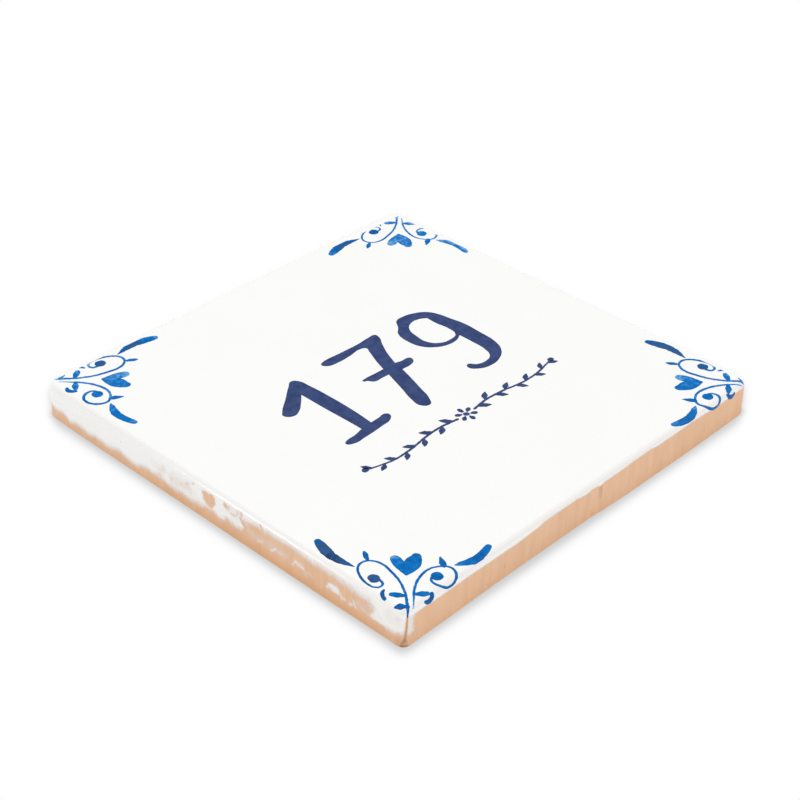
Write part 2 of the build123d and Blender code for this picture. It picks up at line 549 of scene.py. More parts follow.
def glazed_clay():
    """White gloss glaze over buff clay, mixed by how thick the glaze lies, with painted shade darkening both.
    """
    material, tree, output = new_material("glazed_clay")
    place = add_node(tree, "ShaderNodeTexCoord").outputs["Object"]
    upright = add_node(tree, "ShaderNodeMapping", {"Vector": place, "Scale": (1, 1, drag_height)}).outputs[0]
    shade_amount = marked(tree, "painted_shade")
    grain = clouding(tree, place, *grain_waves)
    cloud = clouding(tree, place, *cloud_waves)
    drag = clouding(tree, upright, *drag_waves)
    broken = calculated(tree, "MULTIPLY_ADD", grain, grain_break, marked(tree, "glaze"))
    film = graded(tree, broken, *film_range)
    cover = graded(tree, broken, *cover_range)

    clay = mix_colours(tree, graded(tree, drag, *drag_range), clay_buff, clay_dragged)
    clay = mix_colours(tree, graded(tree, grain, *grain_range), clay, clay_grain)
    clay = mix_colours(tree, marked(tree, "foot_tint"), clay, clay_foot_tint)
    # Painted shade in the clay, darker in steps where more of it is marked.
    clay = mix_colours(tree, graded(tree, shade_amount, *faint_shade_range), clay, clay_faint_shade)
    clay = mix_colours(tree, graded(tree, shade_amount, *deep_shade_range), clay, clay_deep_shade)
    clay = mix_colours(tree, graded(tree, shade_amount, *darkest_shade_range), clay, clay_darkest_shade)
    white = mix_colours(tree, graded(tree, cloud, *cloud_range), glaze_white, glaze_cloud)
    # Painted shade on the glaze: greyer on the rolled edge, deep grey in the pinhole and at the worn corner.
    white = mix_colours(tree, graded(tree, marked(tree, "rolled_edge_shade"), *rolled_range), white, glaze_rolled_shade)
    white = mix_colours(tree, graded(tree, shade_amount, *glaze_deep_shade_range), white, glaze_deep_shade)
    skin = mix_colours(tree, film, clay, glaze_film)
    skin = mix_colours(tree, cover, skin, white)
    gloss = add_node(tree, "ShaderNodeMix", {0: cover, 2: clay_roughness, 3: glaze_roughness}).outputs[0]
    swell = bumps(tree, clouding(tree, place, *swell_waves), *glaze_swell)
    tooth = bumps(tree, grain, *clay_tooth)
    normal = add_node(tree, "ShaderNodeMix", {0: cover, 4: tooth, 5: swell}, data_type="VECTOR").outputs[1]
    finish = {"Base Color": skin, "Roughness": gloss, "Normal": normal, "Specular IOR Level": glaze_specular}
    shader = add_node(tree, "ShaderNodeBsdfPrincipled", finish)
    tree.links.new(shader.outputs[0], output.inputs[0])
    return material


tile_mesh.materials.append(glazed_clay())
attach(glazed_tile, "root")
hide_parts("tile")


# The corner ornament: a heart between two scrolls, with leaves, hooks and two long strokes, in cobalt blue.
# It is a traditional corner figure, brushed on the glaze as one transfer and set four times, turned or turned
# over, never quite in the same place, so that it runs over the rolled edge here and there.
heart_middle = (-51.5, -53.0)
# Each stroke: layer of paint, then its points as x, y, half width and darkness (0 pale, 0.5 cobalt, 1 navy).
ornament = (
    # The two scrolls.
    (0, (
        (-63.45, -65.7, 0.28, 0.6), (-63.2, -65.1, 0.34, 0.5), (-62.4, -64.0, 0.4, 0.5),
        (-59.8, -60.9, 0.37, 0.5), (-58.4, -58.8, 0.35, 0.45), (-57.0, -55.9, 0.34, 0.5),
        (-56.1, -52.6, 0.36, 0.65), (-55.7, -50.0, 0.36, 0.6), (-56.0, -48.0, 0.34, 0.5),
        (-57.0, -46.5, 0.32, 0.45), (-58.5, -45.8, 0.34, 0.5), (-60.0, -46.2, 0.34, 0.5),
        (-61.4, -47.5, 0.34, 0.6), (-62.4, -49.5, 0.35, 0.8), (-62.9, -51.6, 0.33, 0.7),
        (-62.8, -53.5, 0.32, 0.5), (-62.1, -54.5, 0.32, 0.45), (-61.1, -54.7, 0.33, 0.45),
        (-60.3, -54.1, 0.34, 0.5), (-60.0, -53.0, 0.33, 0.6),
    )),
    (0, (
        (-61.3, -64.7, 0.13, 0.05), (-59.8, -63.3, 0.22, 0.2), (-58.0, -61.6, 0.32, 0.4),
        (-56.0, -60.1, 0.35, 0.45), (-53.5, -58.8, 0.36, 0.5), (-51.0, -58.2, 0.36, 0.55),
        (-49.2, -58.3, 0.34, 0.45), (-47.6, -59.0, 0.32, 0.4), (-46.4, -59.9, 0.33, 0.45),
        (-45.75, -61.2, 0.36, 0.5), (-45.9, -62.7, 0.37, 0.55), (-46.9, -64.2, 0.39, 0.6),
        (-48.5, -65.2, 0.39, 0.6), (-50.0, -65.3, 0.37, 0.55), (-51.2, -64.75, 0.36, 0.55),
        (-52.05, -63.7, 0.36, 0.5), (-52.4, -62.4, 0.35, 0.45), (-52.0, -61.2, 0.34, 0.4),
        (-51.2, -60.6, 0.34, 0.45),
    )),
    # The dots that the scrolls end in.
    (1, ((-60.6, -51.95, 1.27, 1.0), (-60.5, -51.45, 1.27, 1.05))),
    (1, ((-50.15, -61.25, 1.42, 0.56), (-50.05, -61.15, 1.42, 0.56))),
    # The spurs on the scrolls' backs.
    (1, (
        (-57.1, -46.3, 0.31, 0.55), (-56.6, -45.4, 0.57, 0.6), (-56.0, -44.4, 0.68, 0.6),
        (-55.5, -43.5, 0.28, 0.55),
    )),
    (1, (
        (-46.5, -60.0, 0.46, 0.55), (-46.0, -59.2, 0.8, 0.6), (-45.5, -58.3, 0.68, 0.6),
        (-44.75, -57.1, 0.18, 0.55),
    )),
    # The two lobes of the heart.
    (0, (
        (-54.6, -55.7, 0.3, 0.5), (-53.8, -54.2, 0.95, 0.46), (-53.1, -52.4, 1.38, 0.42),
        (-52.5, -50.8, 1.28, 0.33), (-52.35, -50.2, 1.18, 0.22),
    )),
    (1, (
        (-54.4, -55.8, 0.48, 0.5), (-53.2, -55.25, 1.29, 0.45), (-51.4, -54.5, 2.0, 0.45),
        (-49.7, -53.75, 1.86, 0.5), (-48.4, -53.15, 1.19, 0.5),
    )),
    # Leaves and hooks, three along the left scroll and two along the lower one.
    (1, ((-61.65, -58.35, 0.68, 0.5), (-60.9, -59.4, 0.84, 0.5), (-60.0, -60.5, 0.5, 0.5))),
    (1, (
        (-61.8, -56.05, 0.28, 0.6), (-62.6, -56.4, 0.42, 0.75), (-63.4, -57.2, 0.5, 0.85),
        (-63.8, -58.2, 0.46, 0.75),
    )),
    (1, (
        (-63.95, -61.8, 0.42, 0.75), (-63.25, -62.45, 0.95, 0.7), (-62.3, -63.4, 0.55, 0.6),
        (-61.9, -63.8, 0.3, 0.6),
    )),
    (1, ((-57.9, -62.0, 0.52, 0.5), (-57.0, -62.8, 0.86, 0.5), (-55.9, -63.6, 0.66, 0.5))),
    (1, (
        (-54.95, -64.3, 0.45, 0.6), (-55.4, -65.0, 0.62, 0.75), (-56.2, -65.45, 0.66, 0.8),
        (-57.0, -65.4, 0.55, 0.7), (-57.6, -65.05, 0.34, 0.6),
    )),
    # The long strokes.
    (0, (
        (-60.75, -45.8, 0.08, 0.7), (-61.2, -43.8, 0.63, 0.88), (-61.6, -41.6, 1.05, 1.08),
        (-61.75, -39.3, 1.23, 1.15), (-61.45, -37.3, 1.34, 1.12), (-61.1, -36.0, 1.32, 1.05),
        (-60.75, -34.8, 1.2, 1.0), (-60.3, -33.3, 0.89, 0.75),
    )),
    (0, (
        (-44.4, -61.5, 0.25, 0.4), (-43.0, -62.15, 0.8, 0.45), (-41.3, -62.95, 1.1, 0.5),
        (-39.2, -63.3, 1.12, 0.62), (-37.0, -63.1, 1.06, 0.58), (-35.2, -62.65, 1.0, 0.5),
        (-34.3, -62.35, 0.85, 0.45),
    )),
)
# How a stroke is laid: the distance between its samples, how far it stands up and reaches in, and how much
# its two edges waver, each in its own way.
stroke_step = 0.22
layer_rise = 0.011
paint_sink = 0.25
edge_waver = 0.16
edge_waver_share = 0.3
edge_seeds = (0, 9)
# Its round ends, and how many lanes it is divided into across, by its greatest half width.
least_half = 0.03
cap_steps = 8
cap_share = 0.98
fine_half = 0.5
fine_lanes = 5
broad_lanes = 9


def smooth_line(points, step):
    """Even samples of the smooth curve through points, whose first two numbers are its place."""
    points = np.array(points, float)
    padded = np.vstack((2 * points[0] - points[1], points, 2 * points[-1] - points[-2]))
    samples = []
    for before, here, after, beyond in zip(padded, padded[1:], padded[2:], padded[3:]):
        count = max(2, round(np.hypot(*(after - here)[:2]) / step))
        for share in np.arange(count) / count:
            bend = 2 * before - 5 * here + 4 * after - beyond
            twist = -before + 3 * here - 3 * after + beyond
            samples.append(here + 0.5 * share * (after - before + share * (bend + share * twist)))
    samples.append(points[-1])
    return np.array(samples)


def brush_stroke(points, layer, lanes):
    """A round-ended slip of paint along a curve: corners, faces, and each corner's tone, rim and breadth."""
    line = smooth_line(points, stroke_step)
    heading = np.gradient(line[:, :2], axis=0)
    heading /= np.linalg.norm(heading, axis=1)[:, None]
    half = np.maximum(line[:, 2], least_half)
    turns = np.linspace(0, math.pi / 2, cap_steps + 1)[1:] * cap_share
    caps = []
    for end, sign in ((0, -1), (-1, 1)):
        place = line[end, :2] + sign * half[end] * np.sin(turns)[:, None] * heading[end]
        cap = np.column_stack((place, half[end] * np.cos(turns), np.full(cap_steps, line[end, 3])))
        caps.append((cap, np.tile(heading[end], (cap_steps, 1))))
    spine = np.vstack((caps[0][0][::-1], np.column_stack((line[:, :2], half, line[:, 3])), caps[1][0]))
    way = np.vstack((caps[0][1], heading, caps[1][1]))
    across = np.linspace(-1, 1, lanes)
    sideways = np.column_stack((-way[:, 1], way[:, 0]))
    reach = spine[:, 2, None] * across
    for row, (x, y, half_width) in enumerate(spine[:, :3]):
        most = min(edge_waver, edge_waver_share * half_width)
        waver = [noise.noise(Vector((x, y, edge_seeds[int(share > 0)]))) for share in across]
        reach[row] += most * across * waver
    shift = sideways[:, None] * reach[:, :, None]
    place = spine[:, None, :2] + shift
    levels = (layer_rise * (layer + 1), -paint_sink)
    top, under = [np.dstack((place, np.full(place.shape[:2], level))) for level in levels]
    corners = np.vstack((top.reshape(-1, 3), under.reshape(-1, 3)))
    tone = np.tile(np.repeat(spine[:, 3], lanes), 2)
    rim_share = np.tile(np.abs(across), 2 * len(spine))
    breadth = np.tile(shift.reshape(-1, 2), (2, 1))
    low = len(spine) * lanes
    faces = []
    for i in range(len(spine) - 1):
        for j in range(lanes - 1):
            a, b = i * lanes + j, (i + 1) * lanes + j
            faces.append((a, b, b + 1, a + 1))
            faces.append((low + a, low + a + 1, low + b + 1, low + b))
        a, b = i * lanes, (i + 1) * lanes
        faces.append((a, low + a, low + b, b))
        faces.append((a + lanes - 1, b + lanes - 1, low + b + lanes - 1, low + a + lanes - 1))
    last = (len(spine) - 1) * lanes
    for j in range(lanes - 1):
        faces.append((j, j + 1, low + j + 1, low + j))
        faces.append((last + j + 1, last + j, low + last + j, low + last + j + 1))
    return corners, faces, tone, rim_share, breadth


def paint_mesh(name, strokes, origin=(0, 0)):
    """One mesh of several brush strokes, flat, about its own origin, in millimetres."""
    corners, faces, tones, rims, breadths = [], [], [], [], []
    for layer, points in strokes:
        fine = max(half for _, _, half, _ in points) < fine_half
        lanes = fine_lanes if fine else broad_lanes
        made, made_faces, tone, rim_share, breadth = brush_stroke(points, layer, lanes)
        start = sum(len(c) for c in corners)
        corners.append(made - (*origin, 0))
        faces += [tuple(start + k for k in face) for face in made_faces]
        tones.append(tone)
        rims.append(rim_share)
        # Only thin lines keep a breadth, so that only they come out bolder or finer.
        breadths.append(np.pad(breadth * fine, ((0, 0), (0, 1))))
    mesh = bpy.data.meshes.new(name)
    mesh.from_pydata(np.vstack(corners), [], faces)
    mark_points(mesh, "tone", np.concatenate(tones))
    mark_points(mesh, "rim", np.concatenate(rims))
    mark_points(mesh, "breadth", np.vstack(breadths), "FLOAT_VECTOR")
    outward_mesh = bmesh.new()
    outward_mesh.from_mesh(mesh)
    bmesh.ops.recalc_face_normals(outward_mesh, faces=outward_mesh.faces)
    outward_mesh.to_mesh(mesh)
    outward_mesh.free()
    return mesh


# Stands in for a distance of nothing in a division.
no_gap = 1e-9


def lay_on_face(mesh):
    """Takes flat paint, in millimetres, down onto the face and over its rolled edge, in metres."""
    flat = np.empty(len(mesh.vertices) * 3)
    mesh.vertices.foreach_get("co", flat)
    flat = flat.reshape(-1, 3)
    plan, rise = flat[:, :2], flat[:, 2]
    inset = arris_radius * (1 - math.sin(lean_angle)) / math.cos(lean_angle)
    radius = np.where(plan[:, 0] * plan[:, 1] > 0, crisp_corner_radius, soft_corner_radius)
    radius = np.where((plan < 0).all(axis=1), sharp_corner_radius, radius) - inset
    beyond = np.maximum(np.abs(plan) - (face_half - inset - radius)[:, None], 0)
    gap = np.linalg.norm(beyond, axis=1)
    over = np.maximum(gap - radius, 0)
    way = np.sign(plan) * (beyond / np.maximum(gap, no_gap)[:, None])
    tip = np.minimum(over / arris_radius, math.pi / 2 - lean_angle)
    down = over - tip * arris_radius
    reach = (arris_radius + rise) * np.sin(tip) + down * math.sin(lean_angle)
    placed = np.empty_like(flat)
    placed[:, :2] = plan - way * over[:, None] + way * reach[:, None]
    roll = arris_radius * (1 - np.cos(tip)) + paint_room * np.cos(tip)
    placed[:, 2] = thickness - roll + rise * np.cos(tip) - down * math.cos(lean_angle)
    mesh.vertices.foreach_set("co", (placed * MM).ravel())
    mesh.update()


paint_specular = 0.08
cobalt_waves = 850
cobalt_detail = 5
cobalt_clouding = (0.25, 0.75, 0.05, 0.41)
pooled_rim = (0.55, 1.0)
pooled_depth = 0.12
# The shades of the cobalt, from a pale wash to where it lies thickest, and the weights of paint over which
# each turns into the next.
cobalt_shades = (
    colour(118, 176, 228),
    colour(14, 113, 190),
    colour(18, 92, 162),
    colour(54, 91, 140),
    colour(26, 58, 100),
)
shade_steps = ((0.2, 0.65), (0.65, 1.0), (1.0, 1.3), (1.3, 1.6))


def under_gloss(tree, shade, output):
    """Gives a painted colour the gloss of the glaze and makes it the material's surface."""
    finish = {"Base Color": shade, "Roughness": glaze_roughness, "Specular IOR Level": paint_specular}
    shader = add_node(tree, "ShaderNodeBsdfPrincipled", finish)
    tree.links.new(shader.outputs[0], output.inputs[0])


def cobalt_paint():
    """Cobalt colour under the same gloss as the glaze, shaded by how heavily the brush laid it."""
    material, tree, output = new_material("ornament_cobalt")
    place = add_node(tree, "ShaderNodeTexCoord").outputs["Object"]
    laid = calculated(tree, "ADD", marked(tree, "tone"), marked(tree, "weight"))
    outer = graded(tree, marked(tree, "rim"), *pooled_rim)
    pooled = calculated(tree, "MULTIPLY_ADD", outer, pooled_depth, laid)
    wash = graded(tree, clouding(tree, place, cobalt_waves, cobalt_detail), *cobalt_clouding)
    uneven = calculated(tree, "ADD", wash, pooled)
    shade = cobalt_shades[0]
    for step, deeper in zip(shade_steps, cobalt_shades[1:]):
        shade = mix_colours(tree, graded(tree, uneven, *step), shade, deeper)
    under_gloss(tree, shade, output)
    return material


# Where each transfer's heart sits, how far it is turned, its two sizes, whether it is turned over, and how
# much more or less paint it carries.
corner_places = (
    (-51.8, -53.2, 0.0, 1.0, 1.0, 1, 0.02),
    (51.25, -54.15, 0.8, 1.01, 0.962, -1, -0.06),
    (-50.95, 51.25, -90.1, 1.035, 0.985, 1, -0.11),
    (52.0, 50.1, 90.7, 1.03, 0.968, -1, -0.16),
)
# How much bolder, or finer with a minus, the thin lines of each transfer came out.
line_bolder = (-0.08, 0.1, 0.08, -0.12)
# The transfers were trimmed short of the far edges: a point on each cut and the way out across it.
trimmed_at = (((0.0, 62.06), (0.0152, 1.0)), ((62.6, 0.0), (1.0, 0.0)))
fade_reach = 1.6
fade_amount = 0.3
# The long strokes along the upper edge end paler: above which Y, between which distances from the middle,
# and by how much.
pale_above = 53.0
pale_ends = (37.0, 34.8)
pale_by = 0.36


def new_tree(name, inputs, result):
    """A geometry node tree with named inputs of these kinds and one result: tree, inputs, output."""
    tree = bpy.data.node_groups.new(name, "GeometryNodeTree")
    for label, kind in inputs.items():
        tree.interface.new_socket(label, in_out="INPUT", socket_type="NodeSocket" + kind)
    tree.interface.new_socket(result, in_out="OUTPUT", socket_type="NodeSocketGeometry")
    given = tree.nodes.new("NodeGroupInput").outputs
    return tree, given, tree.nodes.new("NodeGroupOutput").inputs[0]


def point_value(tree, name, kind):
    """The number or vector that each point keeps under this name."""
    return add_node(tree, "GeometryNodeInputNamedAttribute", {"Name": name}, data_type=kind).outputs[0]


def set_on_points(tree, points, figure, euler, size):
    """A figure set on each point, turned and sized, and made into real geometry."""
    rotation = add_node(tree, "FunctionNodeEulerToRotation", {"Euler": euler}).outputs[0]
    inputs = {"Points": points, "Instance": figure, "Rotation": rotation, "Scale": size}
    set_down = add_node(tree, "GeometryNodeInstanceOnPoints", inputs).outputs[0]
    return add_node(tree, "GeometryNodeRealizeInstances", {"Geometry": set_down}).outputs[0]


def corner_transfer_tree(material):
    """Geometry nodes that set one transfer on each marked point, turned and turned over as the point says."""
    inputs = {"Places": "Geometry", "Transfer": "Object"}
    tree, given, result = new_tree("corner_transfers", inputs, "Corners")
    figure = add_node(tree, "GeometryNodeObjectInfo", {"Object": given["Transfer"]}).outputs["Geometry"]
    turn = point_value(tree, "turn", "FLOAT_VECTOR")
    size = point_value(tree, "size", "FLOAT_VECTOR")
    real = set_on_points(tree, given["Places"], figure, turn, size)
    breadth = point_value(tree, "breadth", "FLOAT_VECTOR")
    sized = add_node(tree, "ShaderNodeVectorMath", {0: breadth, 1: size}, operation="MULTIPLY").outputs[0]
    inputs = {"Vector": sized, "Rotation": turn}
    turned = add_node(tree, "ShaderNodeVectorRotate", inputs, rotation_type="EULER_XYZ").outputs[0]
    inputs = {0: turned, "Scale": point_value(tree, "bolder", "FLOAT")}
    grown = add_node(tree, "ShaderNodeVectorMath", inputs, operation="SCALE").outputs[0]
    drawn = add_node(tree, "GeometryNodeSetPosition", {"Geometry": real, "Offset": grown}).outputs[0]
    across = add_node(tree, "ShaderNodeSeparateXYZ", {0: size}).outputs["X"]
    below = {"data_type": "FLOAT", "operation": "LESS_THAN"}
    turned_over = add_node(tree, "FunctionNodeCompare", {0: across, 1: 0.0}, **below).outputs[0]
    inputs = {"Mesh": drawn, "Selection": turned_over}
    outward_faces = add_node(tree, "GeometryNodeFlipFaces", inputs).outputs[0]
    inputs = {"Geometry": outward_faces, "Material": material}
    tree.links.new(add_node(tree, "GeometryNodeSetMaterial", inputs).outputs[0], result)
    return tree


def modifier_input(tree, name):
    """The identifier of a geometry node tree's named input."""
    return next(i.identifier for i in tree.interface.items_tree if i.in_out == "INPUT" and i.name == name)


def evaluated_mesh(holder):
    """What an object's modifiers or its curve come to, as a plain mesh; the object itself is removed."""
    bpy.context.view_layer.update()
    mesh = bpy.data.meshes.new_from_object(holder.evaluated_get(bpy.context.evaluated_depsgraph_get()))
    bpy.data.objects.remove(holder)
    return mesh


def made_by_nodes(name, start_mesh, tree, inputs):
    """Runs a geometry node tree on a mesh and returns the result as a plain mesh."""
    holder = put_in_scene(name, start_mesh)
    nodes = holder.modifiers.new(name, "NODES")
    nodes.node_group = tree
    for label, value in inputs.items():
        nodes[modifier_input(tree, label)] = value
    return evaluated_mesh(holder)


transfer = bpy.data.objects.new("corner_transfer", paint_mesh("corner_transfer", ornament, heart_middle))
places_mesh = bpy.data.meshes.new("corner_places")
places_mesh.from_pydata([(x, y, 0) for x, y, *_ in corner_places], [], [])
turns = [(0.0, 0.0, math.radians(turn)) for _, _, turn, *_ in corner_places]
sizes = [(side * wide, tall, 1.0) for *_, wide, tall, side, _ in corner_places]
mark_points(places_mesh, "turn", turns, "FLOAT_VECTOR")
mark_points(places_mesh, "size", sizes, "FLOAT_VECTOR")
mark_points(places_mesh, "weight", [weight for *_, weight in corner_places])
mark_points(places_mesh, "bolder", line_bolder)
corner_transfers = corner_transfer_tree(cobalt_paint())
ornament_mesh = made_by_nodes("corner_places", places_mesh, corner_transfers, {"Transfer": transfer})
bpy.data.objects.remove(transfer)
trim = bmesh.new()
trim.from_mesh(ornament_mesh)
for point, way in trimmed_at:
    everything = [*trim.verts, *trim.edges, *trim.faces]
    bmesh.ops.bisect_plane(trim, geom=everything, plane_co=(*point, 0), plane_no=(*way, 0), clear_outer=True)
    open_edges = [e for e in trim.edges if e.is_boundary]
    bmesh.ops.holes_fill(trim, edges=open_edges, sides=0)
trim.to_mesh(ornament_mesh)
trim.free()
plan = np.array([v.co[:2] for v in ornament_mesh.vertices])
tones = np.empty(len(plan))
ornament_mesh.attributes["tone"].data.foreach_get("value", tones)
for point, way in trimmed_at:
    tones -= fade_amount * soft_step(fade_reach, 0.0, (np.array(point) - plan) @ way)
tones -= pale_by * soft_step(*pale_ends, np.abs(plan[:, 0])) * (plan[:, 1] > pale_above)
ornament_mesh.attributes["tone"].data.foreach_set("value", tones)
lay_on_face(ornament_mesh)
ornament_mesh.shade_smooth()
ornament_mesh.set_sharp_from_angle(angle=crease_angle)
corner_ornament = put_in_scene("corner_ornament", ornament_mesh)
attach(corner_ornament, "root")


# The house number: three plain numerals in navy, drawn freehand with a round brush and set a little uneven.
# They are painted on the glaze and fired with it, so they lie flat in the face under the same gloss.
# Each outline runs round a numeral in millimetres; a third value marks a sharp corner.
numerals = {
    "one": (
        (
            (-31.9, 8.9), (-31.2, 10.0), (-26.5, 13.9), (-22.2, 17.4), (-19.8, 18.9), (-18.4, 17.6),
            (-17.9, 14.0), (-17.6, 6.0), (-17.8, -3.0), (-18.3, -8.8, 1), (-15.6, -8.7), (-13.3, -8.5),
            (-12.5, -9.4), (-13.6, -11.1), (-18.0, -11.9), (-24.0, -12.3), (-27.4, -12.3), (-29.2, -10.9),
            (-28.2, -10.1), (-25.0, -9.8), (-22.0, -9.1, 1), (-22.0, -5.0), (-22.2, 3.0), (-22.2, 12.5, 1),
            (-25.0, 9.7), (-27.6, 7.6), (-30.0, 6.9),
        ),
    ),
    "seven": (
        (
            (-9.1, 18.8), (-8.4, 19.5), (-1.0, 19.5), (5.0, 19.3), (9.0, 19.6), (11.3, 19.3), (11.3, 17.9),
            (9.3, 14.5), (7.2, 10.6), (5.3, 5.9, 1), (7.0, 5.4), (9.8, 4.9), (9.7, 3.5), (8.2, 2.5),
            (4.5, 2.4, 1), (3.3, -1.6), (1.6, -6.6), (-0.4, -12.0), (-2.2, -13.9), (-4.2, -12.4),
            (-3.9, -9.0), (-2.2, -4.0), (0.2, 3.2, 1), (-2.2, 3.3), (-4.7, 3.5), (-5.8, 4.9), (-6.8, 5.8),
            (-5.4, 6.2), (-2.4, 6.1), (1.0, 6.0, 1), (2.4, 10.0), (4.3, 14.5), (4.9, 16.3), (3.4, 17.1),
            (-0.6, 16.7), (-5.0, 16.6), (-8.2, 17.3),
        ),
    ),
    "nine": (
        (
            (20.7, 20.3), (22.6, 20.5), (26.2, 19.7), (29.6, 17.4), (31.1, 14.2), (31.7, 10.6), (32.4, 6.6),
            (32.2, 0.0), (31.7, -5.5), (30.0, -9.4), (26.6, -12.0), (22.4, -12.8), (18.8, -11.6),
            (17.2, -9.2), (18.2, -8.1), (20.2, -9.9), (22.8, -10.4), (25.4, -9.5), (26.8, -6.6),
            (27.2, -1.0), (27.2, 3.0, 1), (25.0, 2.0), (22.0, 1.9), (18.6, 3.3), (15.9, 6.4), (15.1, 10.6),
            (15.9, 15.0), (18.2, 17.4),
        ),
        (
            (27.3, 15.2, 1), (27.2, 11.4), (27.6, 7.8), (26.7, 4.1), (24.0, 3.4), (21.0, 4.0), (18.7, 6.8),
            (18.7, 10.8), (20.0, 14.9), (22.6, 16.6), (25.4, 16.4),
        ),
    ),
}
number_shift = -0.35
outline_steps = 8
weld_gap = 1e-7
navy = colour(54, 69, 112)
clouded_navy = colour(67, 83, 126)
navy_waves = 420
navy_detail = 4
navy_clouding = (0.3, 0.7)


def numeral_mesh(name, outlines):
    """A flat numeral filled between its outlines, as a thin closed slab on the face."""
    line = bpy.data.curves.new(name, "CURVE")
    line.dimensions = "2D"
    line.fill_mode = "BOTH"
    line.resolution_u = outline_steps
    line.extrude = (paint_sink + layer_rise) / 2 * MM
    for outline in outlines:
        loop = line.splines.new("BEZIER")
        loop.bezier_points.add(len(outline) - 1)
        loop.use_cyclic_u = True
        for knot, (x, y, *sharp) in zip(loop.bezier_points, outline):
            knot.co = ((x + number_shift) * MM, y * MM, 0)
            knot.handle_left_type = knot.handle_right_type = "VECTOR" if sharp else "AUTO"
    mesh = evaluated_mesh(put_in_scene(name, line))
    mesh.transform(Matrix.Translation((0, 0, (face_height + (layer_rise - paint_sink) / 2) * MM)))
    return mesh


def navy_paint():
    """Even navy with the faint clouding of fired colour, under the gloss of the glaze."""
    material, tree, output = new_material("number_navy")
    place = add_node(tree, "ShaderNodeTexCoord").outputs["Object"]
    wash = graded(tree, clouding(tree, place, navy_waves, navy_detail), *navy_clouding)
    under_gloss(tree, mix_colours(tree, wash, navy, clouded_navy), output)
    return material


number_paint = navy_paint()
number_parts = bmesh.new()
for numeral, outlines in numerals.items():
    numeral_part = numeral_mesh(numeral, outlines)
    number_parts.from_mesh(numeral_part)
    bpy.data.meshes.remove(numeral_part)
bmesh.ops.remove_doubles(number_parts, verts=number_parts.verts, dist=weld_gap)
bmesh.ops.recalc_face_normals(number_parts, faces=number_parts.faces)
number_mesh = bpy.data.meshes.new("house_number")
number_parts.to_mesh(number_mesh)
number_parts.free()
number_mesh.materials.append(number_paint)
house_number = put_in_scene("house_number", number_mesh)
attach(house_number, "root")


# The sprig under the number: two stems that grow out of a small flower, with leaves on alternate sides and
# a bud at each end. It is brushed in the number's navy, freehand, and fired into the glaze with it.
# Each of a petal's points is a reach from the flower's middle and the half width there.
sprig_middle = (0.8, -23.3)
flower_heart = ((-0.05, 0.0, 0.8, 0), (0.05, 0.0, 0.8, 0))
petal_count = 6
petal_points = ((1.35, 0.34), (2.0, 0.66), (2.5, 0.56))
stem_lines = (
    ((3.2, 0.1), (8.5, 0.8), (14.5, 0.4), (20.5, -0.6), (26.5, -0.5), (31.5, 0.5), (34.2, 1.2)),
    ((-3.2, 0.0), (-8.5, 0.7), (-14.0, 0.5), (-20.5, -0.5), (-26.5, -0.7), (-31.5, 0.4), (-34.6, 1.3)),
)
stem_halves = (0.38, 0.28)
bud_half = 0.85
bud_shifts = (-0.1, 0.1)
leaf_stroke = ((1, ((0.0, 0.0, 0.14, 0), (1.1, 0.08, 0.62, 0), (2.3, 0.12, 0.84, 0), (3.7, 0.0, 0.14, 0))),)
leaf_pitch = 3.2
leaf_spread = math.radians(40)
leaf_shrink = 0.2
# How many samples of a stem stay without leaves at its start and at its end.
bare_start = 6
bare_end = 10


def leafy_stem_tree(material):
    """Geometry nodes that set leaves along a stem, on one side and the other, smaller towards its end."""
    inputs = {"Stem": "Geometry", "Leaf": "Object", "Pitch": "Float", "Spread": "Float", "Shrink": "Float"}
    tree, given, result = new_tree("leafy_stem", inputs, "Leaves")
    leaf = add_node(tree, "GeometryNodeObjectInfo", {"Object": given["Leaf"]}).outputs["Geometry"]
    line = add_node(tree, "GeometryNodeMeshToCurve", {"Mesh": given["Stem"]}).outputs[0]
    inputs = {"Curve": line, "Length": given["Pitch"]}
    spaced = add_node(tree, "GeometryNodeResampleCurve", inputs, mode="LENGTH").outputs[0]
    tangent = add_node(tree, "GeometryNodeInputTangent").outputs[0]
    forward = add_node(tree, "ShaderNodeSeparateXYZ", {0: tangent}).outputs
    heading = calculated(tree, "ARCTAN2", forward["Y"], forward["X"])
    number = add_node(tree, "GeometryNodeInputIndex").outputs[0]
    side = calculated(tree, "MULTIPLY_ADD", calculated(tree, "MODULO", number, 2.0), 2.0, -1.0)
    angle = calculated(tree, "MULTIPLY_ADD", side, given["Spread"], heading)
    turned = add_node(tree, "ShaderNodeCombineXYZ", {"Z": angle}).outputs[0]
    along = add_node(tree, "GeometryNodeSplineParameter").outputs["Factor"]
    size = calculated(tree, "SUBTRACT", 1.0, calculated(tree, "MULTIPLY", along, given["Shrink"]))
    sizes = add_node(tree, "ShaderNodeCombineXYZ", {"X": size, "Y": size, "Z": 1.0}).outputs[0]
    inputs = {"Geometry": set_on_points(tree, spaced, leaf, turned, sizes), "Material": material}
    tree.links.new(add_node(tree, "GeometryNodeSetMaterial", inputs).outputs[0], result)
    return tree


